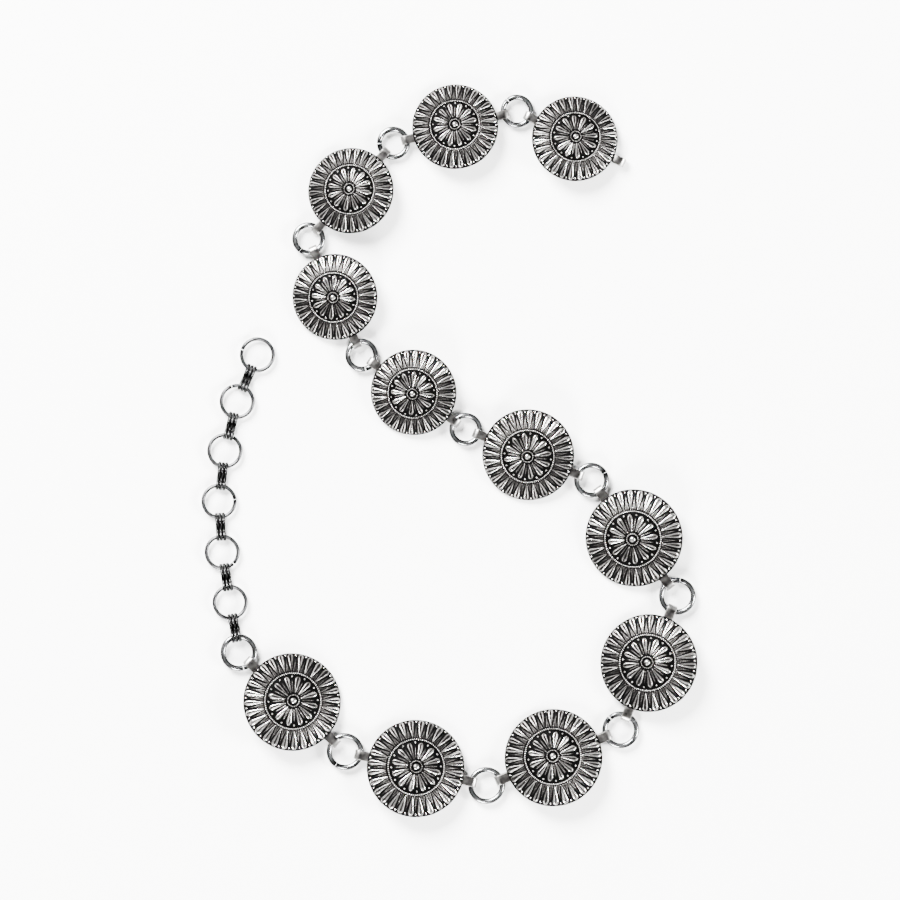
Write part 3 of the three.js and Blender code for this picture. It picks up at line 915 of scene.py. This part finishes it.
# %% [markdown]
# ## Triple links
# Three strands of flattened wire lie side by side and nearly touch. Each goes over one ring, dips
# to the waist, goes over the next ring and comes back along the table. A long drop of solder fills
# the waist. The six links lie at different angles but are alike, so one tree makes them: it sweeps
# a strand, flattens it, repeats it across the link, and adds the drop as a cube rounded by
# subdivision. The dip left everything black but the crests of the strands.

# %% A tree for parallel strands
LINK_WIRE, STRAND_WIDTH, STRAND_PITCH = 1.1, 1.6, 1.8
STRANDS, STRAND_SIDES = 3, 12
SOLDER, SOLDER_HEIGHT = (6.4, 4.8, 1.5), 1.1


def strand_tree():
    tree, given = new_tree("parallel strands", {
        "Geometry": ["Geometry"], "Int": ["Strands", "Sides"], "Vector": ["Solder"], "Material": ["Finish"],
        "Float": ["Wire", "Flattened", "Pitch", "Solder Height"]})
    curve = add_node(tree, "GeometryNodeMeshToCurve", Mesh=given["Geometry"])
    profile = add_node(tree, "GeometryNodeCurvePrimitiveCircle", Resolution=given["Sides"],
                       Radius=given["Wire"])
    tube = add_node(tree, "GeometryNodeCurveToMesh", Curve=curve.outputs[0],
                    Profile_Curve=profile.outputs["Curve"])
    widening = add_node(tree, "ShaderNodeCombineXYZ", X=1.0, Y=given["Flattened"], Z=1.0)
    flat_tube = add_node(tree, "GeometryNodeTransform", Geometry=tube.outputs[0], Scale=widening.outputs[0])
    step = add_node(tree, "ShaderNodeCombineXYZ", Y=given["Pitch"])
    spread = add_node(tree, "ShaderNodeMath", SUBTRACT, _0=given["Strands"], _1=1.0)
    half = add_node(tree, "ShaderNodeMath", MULTIPLY, _0=spread.outputs[0], _1=-0.5)
    first_place = add_node(tree, "ShaderNodeMath", MULTIPLY, _0=half.outputs[0], _1=given["Pitch"])
    start = add_node(tree, "ShaderNodeCombineXYZ", Y=first_place.outputs[0])
    line = add_node(tree, "GeometryNodeMeshLine", Count=given["Strands"], Start_Location=start.outputs[0],
                    Offset=step.outputs[0])
    copies = add_node(tree, "GeometryNodeInstanceOnPoints", Points=line.outputs[0],
                      Instance=flat_tube.outputs[0])
    cube = add_node(tree, "GeometryNodeMeshCube", Size=given["Solder"])
    drop = add_node(tree, "GeometryNodeSubdivisionSurface", Mesh=cube.outputs["Mesh"], Level=3)
    raised = add_node(tree, "ShaderNodeCombineXYZ", Z=given["Solder Height"])
    waist = add_node(tree, "GeometryNodeTransform", Geometry=drop.outputs[0], Translation=raised.outputs[0])
    both = add_node(tree, "GeometryNodeJoinGeometry")
    tree.links.new(copies.outputs[0], both.inputs[0])
    tree.links.new(waist.outputs[0], both.inputs[0])
    smooth_link = add_node(tree, "GeometryNodeSetShadeSmooth", Geometry=both.outputs[0])
    real = add_node(tree, "GeometryNodeRealizeInstances", Geometry=smooth_link.outputs[0])
    finished = add_node(tree, "GeometryNodeSetMaterial", Geometry=real.outputs[0], Material=given["Finish"])
    add_node(tree, "NodeGroupOutput", Geometry=finished.outputs[0])
    return tree


strands = strand_tree()
print("tree:", strands.name, len(strands.nodes), "nodes")

# %% The way of one strand
LINK_CLEAR = 0.15
WAIST_HALF, WAIST_HEIGHT = 0.8, 1.9
BEND_FULLNESS = 0.52
BEND_END = 0.9


def rounded_path(corners, rounds=3):
    """Cuts the corners of a closed path again and again, which leaves it smooth."""
    path = np.array(corners)
    for _ in range(rounds):
        after = np.roll(path, -1, 0)
        path = np.stack([0.75 * path + 0.25 * after, 0.25 * path + 0.75 * after], 1).reshape(-1, 2)
    return path


def eye(x, wire_height, ring_wire, bow, sign):
    """Corners of the strand round one ring, from below to the waist. x is the ring wire's place."""
    low = LINK_WIRE / 2
    high = wire_height + ring_wire / 2 + LINK_CLEAR + LINK_WIRE / 2
    middle, bend = (low + high) / 2, (high - low) / 2
    full = BEND_FULLNESS * bend
    turn = [(bow + full, low), (bow + bend, middle - full), (bow + bend, middle + full), (bow + full, high)]
    over = [(-full, high), (-bend, middle + full), (-bend - BEND_END, middle)]
    return [(sign * (x + dx), z) for dx, z in turn + over] + [(sign * WAIST_HALF, WAIST_HEIGHT)]


def link_tone(points):
    """Relief of a link from its corners in mm: bright along the crests, fading at waist and ends."""
    away = np.abs(points[:, 0])
    off = np.abs((points[:, 1] / STRAND_PITCH + 0.5) % 1 - 0.5) * STRAND_PITCH / (STRAND_WIDTH / 2)
    crest = smooth(1.9, 2.5, points[:, 2]) * (1 - smooth(0.30, 0.80, off))
    return 0.10 + crest * (0.30 + 0.36 * smooth(1.0, 3.4, away)) * (1 - 0.4 * smooth(5.2, 6.2, away))


print("relief in the black of a link:", link_tone(np.zeros((1, 3)))[0])

# %% Build and place the links
def build_link(k, node):
    behind = numbered("joining_ring")[-1] if k == 0 else numbered("extender_ring")[k - 1]
    ends = [(*measure_ring(numbered("extender_ring")[k]), 1), (*measure_ring(behind), -1)]
    (ahead_middle, ahead_radius, _, _), (behind_middle, behind_radius, _, _) = ends
    gap = ahead_middle - behind_middle
    heading = math.atan2(gap[1], gap[0])
    span = np.hypot(*gap[:2]) - ahead_radius - behind_radius
    middle = behind_middle[:2] + gap[:2] / np.hypot(*gap[:2]) * (behind_radius + span / 2)
    eyes = []
    for ring_middle, radius, wire, sign in ends:
        bow = radius / MM - math.sqrt((radius / MM) ** 2 - STRAND_PITCH ** 2)
        eyes.append(eye(span / 2 / MM, ring_middle[2] / MM, wire / MM, bow, sign))
    path = rounded_path(eyes[0] + eyes[1][::-1])
    loop = [(i, (i + 1) % len(path)) for i in range(len(path))]
    strand_mesh = bpy.data.meshes.new("strand")
    strand_mesh.from_pydata([(x * MM, 0, z * MM) for x, z in path], loop, [])
    holder = new_holder(strand_mesh)
    added = holder.modifiers.new("strands", "NODES")
    added.node_group = strands
    set_inputs(added, {"Wire": LINK_WIRE / 2 * MM, "Flattened": STRAND_WIDTH / LINK_WIRE,
                       "Pitch": STRAND_PITCH * MM, "Strands": STRANDS, "Sides": STRAND_SIDES,
                       "Solder": [s * MM for s in SOLDER], "Solder Height": SOLDER_HEIGHT * MM,
                       "Finish": dark_wire})
    mesh = made_real(holder, node + "_strands")
    store_relief(mesh, link_tone(points_of(mesh) / MM))
    return piece(node + "_strands", mesh, node, heading, (*middle, 0))


links = [build_link(k, node) for k, node in enumerate(numbered("triple_link"))]
print("links:", len(links), "pieces,", triangles(links), "triangles")
